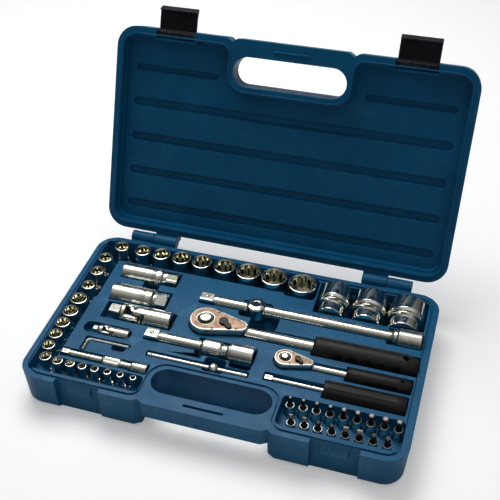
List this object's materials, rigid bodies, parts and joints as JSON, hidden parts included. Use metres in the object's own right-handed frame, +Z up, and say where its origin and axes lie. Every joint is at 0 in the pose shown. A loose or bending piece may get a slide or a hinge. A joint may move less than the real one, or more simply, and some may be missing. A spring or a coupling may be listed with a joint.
{
  "type": "socket wrench set in case",
  "caption": "Hinged blue carrying case, open, with ratchets, sockets, bits, extensions and universal joints lying and standing in its moulded tray.",
  "frame": {"origin": "centre of the base's flat underside, on the floor (the case's width is centred on X = 0)", "axes": "+X to the right along the case, +Y to the hinge, +Z up"},
  "size_m": [0.417, 0.3737, 0.2982],
  "materials": {
    "case_blue": "fine grained blow-moulded polyethylene, mid blue",
    "latch_black": "moulded black plastic",
    "grip_black": "soft black grip with a faint sheen",
    "chrome": "polished chrome plate",
    "satin_steel": "satin chrome with fine turning marks",
    "black_steel": "dark phosphated bit steel with bare tips"
  },
  "bodies": {
    "case_base": {"case_base": "case_blue", "hinge_pins": "satin_steel"},
    "lid": {"case_lid": "case_blue"},
    "latch_left": {"latch_left": "latch_black"},
    "latch_right": {"latch_right": "latch_black"},
    "half_socket_10": {"half_socket_10": "chrome"},
    "half_socket_11": {"half_socket_11": "chrome"},
    "half_socket_12": {"half_socket_12": "chrome"},
    "half_socket_13": {"half_socket_13": "chrome"},
    "half_socket_14": {"half_socket_14": "chrome"},
    "half_socket_15": {"half_socket_15": "chrome"},
    "half_socket_17": {"half_socket_17": "chrome"},
    "half_socket_18": {"half_socket_18": "chrome"},
    "half_socket_19": {"half_socket_19": "chrome"},
    "half_socket_21": {"half_socket_21": "chrome"},
    "half_socket_22": {"half_socket_22": "chrome"},
    "half_socket_24": {"half_socket_24": "chrome"},
    "half_socket_27": {"half_socket_27": "chrome"},
    "half_socket_30": {"half_socket_30": "chrome"},
    "half_socket_32": {"half_socket_32": "chrome"},
    "quarter_socket_14": {"quarter_socket_14": "chrome"},
    "quarter_socket_13": {"quarter_socket_13": "chrome"},
    "quarter_socket_12": {"quarter_socket_12": "chrome"},
    "quarter_socket_11": {"quarter_socket_11": "chrome"},
    "quarter_socket_10": {"quarter_socket_10": "chrome"},
    "quarter_socket_9": {"quarter_socket_9": "chrome"},
    "quarter_socket_8": {"quarter_socket_8": "chrome"},
    "quarter_socket_7": {"quarter_socket_7": "chrome"},
    "quarter_socket_6": {"quarter_socket_6": "chrome"},
    "quarter_socket_5_5": {"quarter_socket_5_5": "chrome"},
    "quarter_sockets_4_to_5": {"quarter_sockets_4_to_5": "chrome"},
    "spark_plug_socket_16": {"spark_plug_socket_16": "chrome"},
    "spark_plug_socket_21": {"spark_plug_socket_21": "chrome"},
    "half_universal_joint": {"half_joint_female_yoke": "chrome"},
    "half_joint_cross": {"half_joint_cross": "chrome"},
    "half_joint_male_yoke": {"half_joint_male_yoke": "chrome"},
    "quarter_universal_joint": {"quarter_joint_female_yoke": "chrome"},
    "quarter_joint_cross": {"quarter_joint_cross": "chrome"},
    "quarter_joint_male_yoke": {"quarter_joint_male_yoke": "chrome"},
    "hex_key": {"hex_key": "satin_steel"},
    "quarter_extension": {"quarter_extension": "satin_steel"},
    "half_short_extension": {"half_short_extension": "satin_steel"},
    "half_long_extension": {"half_long_extension": "satin_steel"},
    "half_t_slider": {"half_t_slider": "chrome"},
    "quarter_t_bar": {"quarter_t_rod": "chrome"},
    "quarter_t_slider": {"quarter_t_slider": "chrome"},
    "half_ratchet": {"half_ratchet_body": "chrome", "half_ratchet_grip": "grip_black"},
    "half_ratchet_drive": {"half_ratchet_drive": "chrome"},
    "half_ratchet_button": {"half_ratchet_button": "chrome"},
    "half_ratchet_lever": {"half_ratchet_lever": "chrome"},
    "quarter_ratchet": {"quarter_ratchet_body": "chrome", "quarter_ratchet_grip": "grip_black"},
    "quarter_ratchet_drive": {"quarter_ratchet_drive": "chrome"},
    "quarter_ratchet_button": {"quarter_ratchet_button": "chrome"},
    "quarter_ratchet_lever": {"quarter_ratchet_lever": "chrome"},
    "spinner_handle": {"spinner_shaft": "satin_steel", "spinner_grip": "grip_black"},
    "bit_sockets": {"bit_sockets": "chrome", "bits": "black_steel"}
  },
  "joints": [
    {"name": "lid_hinge", "type": "hinge", "parent": "case_base", "child": "lid", "pos_m": [0, 0.12925, 0.045], "axis": [-1, 0, 0], "range_deg": [-112, 0]},
    {"name": "latch_left_pivot", "type": "hinge", "parent": "lid", "child": "latch_left", "pos_m": [-0.138, 0.22874, 0.27255], "axis": [-1, 0, 0], "range_deg": [-90, 0]},
    {"name": "latch_right_pivot", "type": "hinge", "parent": "lid", "child": "latch_right", "pos_m": [0.138, 0.22874, 0.27255], "axis": [-1, 0, 0], "range_deg": [-90, 0]},
    {"name": "half_socket_10_lift", "type": "slide", "parent": "case_base", "child": "half_socket_10", "axis": [0, 0, 1], "range_m": [0, 0.06]},
    {"name": "half_socket_11_lift", "type": "slide", "parent": "case_base", "child": "half_socket_11", "axis": [0, 0, 1], "range_m": [0, 0.06]},
    {"name": "half_socket_12_lift", "type": "slide", "parent": "case_base", "child": "half_socket_12", "axis": [0, 0, 1], "range_m": [0, 0.06]},
    {"name": "half_socket_13_lift", "type": "slide", "parent": "case_base", "child": "half_socket_13", "axis": [0, 0, 1], "range_m": [0, 0.06]},
    {"name": "half_socket_14_lift", "type": "slide", "parent": "case_base", "child": "half_socket_14", "axis": [0, 0, 1], "range_m": [0, 0.06]},
    {"name": "half_socket_15_lift", "type": "slide", "parent": "case_base", "child": "half_socket_15", "axis": [0, 0, 1], "range_m": [0, 0.06]},
    {"name": "half_socket_17_lift", "type": "slide", "parent": "case_base", "child": "half_socket_17", "axis": [0, 0, 1], "range_m": [0, 0.06]},
    {"name": "half_socket_18_lift", "type": "slide", "parent": "case_base", "child": "half_socket_18", "axis": [0, 0, 1], "range_m": [0, 0.06]},
    {"name": "half_socket_19_lift", "type": "slide", "parent": "case_base", "child": "half_socket_19", "axis": [0, 0, 1], "range_m": [0, 0.06]},
    {"name": "half_socket_21_lift", "type": "slide", "parent": "case_base", "child": "half_socket_21", "axis": [0, 0, 1], "range_m": [0, 0.06]},
    {"name": "half_socket_22_lift", "type": "slide", "parent": "case_base", "child": "half_socket_22", "axis": [0, 0, 1], "range_m": [0, 0.06]},
    {"name": "half_socket_24_lift", "type": "slide", "parent": "case_base", "child": "half_socket_24", "axis": [0, 0, 1], "range_m": [0, 0.06]},
    {"name": "half_socket_27_lift", "type": "slide", "parent": "case_base", "child": "half_socket_27", "axis": [0, 0, 1], "range_m": [0, 0.06]},
    {"name": "half_socket_30_lift", "type": "slide", "parent": "case_base", "child": "half_socket_30", "axis": [0, 0, 1], "range_m": [0, 0.06]},
    {"name": "half_socket_32_lift", "type": "slide", "parent": "case_base", "child": "half_socket_32", "axis": [0, 0, 1], "range_m": [0, 0.06]},
    {"name": "quarter_socket_14_lift", "type": "slide", "parent": "case_base", "child": "quarter_socket_14", "axis": [0, 0, 1], "range_m": [0, 0.06]},
    {"name": "quarter_socket_13_lift", "type": "slide", "parent": "case_base", "child": "quarter_socket_13", "axis": [0, 0, 1], "range_m": [0, 0.06]},
    {"name": "quarter_socket_12_lift", "type": "slide", "parent": "case_base", "child": "quarter_socket_12", "axis": [0, 0, 1], "range_m": [0, 0.06]},
    {"name": "quarter_socket_11_lift", "type": "slide", "parent": "case_base", "child": "quarter_socket_11", "axis": [0, 0, 1], "range_m": [0, 0.06]},
    {"name": "quarter_socket_10_lift", "type": "slide", "parent": "case_base", "child": "quarter_socket_10", "axis": [0, 0, 1], "range_m": [0, 0.06]},
    {"name": "quarter_socket_9_lift", "type": "slide", "parent": "case_base", "child": "quarter_socket_9", "axis": [0, 0, 1], "range_m": [0, 0.06]},
    {"name": "quarter_socket_8_lift", "type": "slide", "parent": "case_base", "child": "quarter_socket_8", "axis": [0, 0, 1], "range_m": [0, 0.06]},
    {"name": "quarter_socket_7_lift", "type": "slide", "parent": "case_base", "child": "quarter_socket_7", "axis": [0, 0, 1], "range_m": [0, 0.06]},
    {"name": "quarter_socket_6_lift", "type": "slide", "parent": "case_base", "child": "quarter_socket_6", "axis": [0, 0, 1], "range_m": [0, 0.06]},
    {"name": "quarter_socket_5_5_lift", "type": "slide", "parent": "case_base", "child": "quarter_socket_5_5", "axis": [0, 0, 1], "range_m": [0, 0.06]},
    {"name": "quarter_sockets_4_to_5_lift", "type": "slide", "parent": "case_base", "child": "quarter_sockets_4_to_5", "axis": [0, 0, 1], "range_m": [0, 0.06]},
    {"name": "spark_plug_socket_16_lift", "type": "slide", "parent": "case_base", "child": "spark_plug_socket_16", "axis": [0, 0, 1], "range_m": [0, 0.06]},
    {"name": "spark_plug_socket_21_lift", "type": "slide", "parent": "case_base", "child": "spark_plug_socket_21", "axis": [0, 0, 1], "range_m": [0, 0.06]},
    {"name": "half_universal_joint_lift", "type": "slide", "parent": "case_base", "child": "half_universal_joint", "axis": [0, 0, 1], "range_m": [0, 0.06]},
    {"name": "half_joint_swing", "type": "hinge", "parent": "half_universal_joint", "child": "half_joint_cross", "pos_m": [-0.116, -0.0035, 0.0435], "axis": [0, 0, 1], "range_deg": [-4, 4]},
    {"name": "half_joint_tilt", "type": "hinge", "parent": "half_joint_cross", "child": "half_joint_male_yoke", "pos_m": [-0.116, -0.0035, 0.0435], "axis": [0, 1, 0], "range_deg": [0, 30]},
    {"name": "quarter_universal_joint_lift", "type": "slide", "parent": "case_base", "child": "quarter_universal_joint", "axis": [0, 0, 1], "range_m": [0, 0.06]},
    {"name": "quarter_joint_swing", "type": "hinge", "parent": "quarter_universal_joint", "child": "quarter_joint_cross", "pos_m": [-0.1365, -0.0352, 0.0425], "axis": [0, 0, 1], "range_deg": [-8, 8]},
    {"name": "quarter_joint_tilt", "type": "hinge", "parent": "quarter_joint_cross", "child": "quarter_joint_male_yoke", "pos_m": [-0.1365, -0.0352, 0.0425], "axis": [0, 1, 0], "range_deg": [0, 30]},
    {"name": "hex_key_lift", "type": "slide", "parent": "case_base", "child": "hex_key", "axis": [0, 0, 1], "range_m": [0, 0.06]},
    {"name": "quarter_extension_lift", "type": "slide", "parent": "case_base", "child": "quarter_extension", "axis": [0, 0, 1], "range_m": [0, 0.06]},
    {"name": "half_short_extension_lift", "type": "slide", "parent": "case_base", "child": "half_short_extension", "axis": [0, 0, 1], "range_m": [0, 0.06]},
    {"name": "half_long_extension_lift", "type": "slide", "parent": "case_base", "child": "half_long_extension", "axis": [0, 0, 1], "range_m": [0, 0.06]},
    {"name": "half_t_slide", "type": "slide", "parent": "half_long_extension", "child": "half_t_slider", "axis": [1, 0, 0], "range_m": [-0.006, 0.006]},
    {"name": "quarter_t_bar_lift", "type": "slide", "parent": "case_base", "child": "quarter_t_bar", "axis": [0, 0, 1], "range_m": [0, 0.06]},
    {"name": "quarter_t_slide", "type": "slide", "parent": "quarter_t_bar", "child": "quarter_t_slider", "axis": [1, 0, 0], "range_m": [-0.005, 0.005]},
    {"name": "half_ratchet_lift", "type": "slide", "parent": "case_base", "child": "half_ratchet", "axis": [0, 0, 1], "range_m": [0, 0.06]},
    {"name": "half_ratchet_drive_turn", "type": "hinge", "parent": "half_ratchet", "child": "half_ratchet_drive", "pos_m": [-0.0365, 0.0062, 0.046], "axis": [0, 0, 1], "continuous": true},
    {"name": "half_ratchet_button_press", "type": "slide", "parent": "half_ratchet_drive", "child": "half_ratchet_button", "axis": [0, 0, 1], "range_m": [-0.0015, 0], "stiffness_N_per_m": 300, "springref_m": 0.0006},
    {"name": "half_ratchet_lever_turn", "type": "hinge", "parent": "half_ratchet", "child": "half_ratchet_lever", "pos_m": [-0.0155, 0.0062, 0.046], "axis": [0, 0, 1], "range_deg": [0, 80]},
    {"name": "quarter_ratchet_lift", "type": "slide", "parent": "case_base", "child": "quarter_ratchet", "axis": [0, 0, 1], "range_m": [0, 0.06]},
    {"name": "quarter_ratchet_drive_turn", "type": "hinge", "parent": "quarter_ratchet", "child": "quarter_ratchet_drive", "pos_m": [0.0625, -0.024, 0.046], "axis": [0, 0, 1], "continuous": true},
    {"name": "quarter_ratchet_button_press", "type": "slide", "parent": "quarter_ratchet_drive", "child": "quarter_ratchet_button", "axis": [0, 0, 1], "range_m": [-0.0015, 0], "stiffness_N_per_m": 300, "springref_m": 0.0006},
    {"name": "quarter_ratchet_lever_turn", "type": "hinge", "parent": "quarter_ratchet", "child": "quarter_ratchet_lever", "pos_m": [0.0765, -0.024, 0.046], "axis": [0, 0, 1], "range_deg": [0, 80]},
    {"name": "spinner_handle_lift", "type": "slide", "parent": "case_base", "child": "spinner_handle", "axis": [0, 0, 1], "range_m": [0, 0.06]},
    {"name": "bit_sockets_lift", "type": "slide", "parent": "case_base", "child": "bit_sockets", "axis": [0, 0, 1], "range_m": [0, 0.05]}
  ]
}
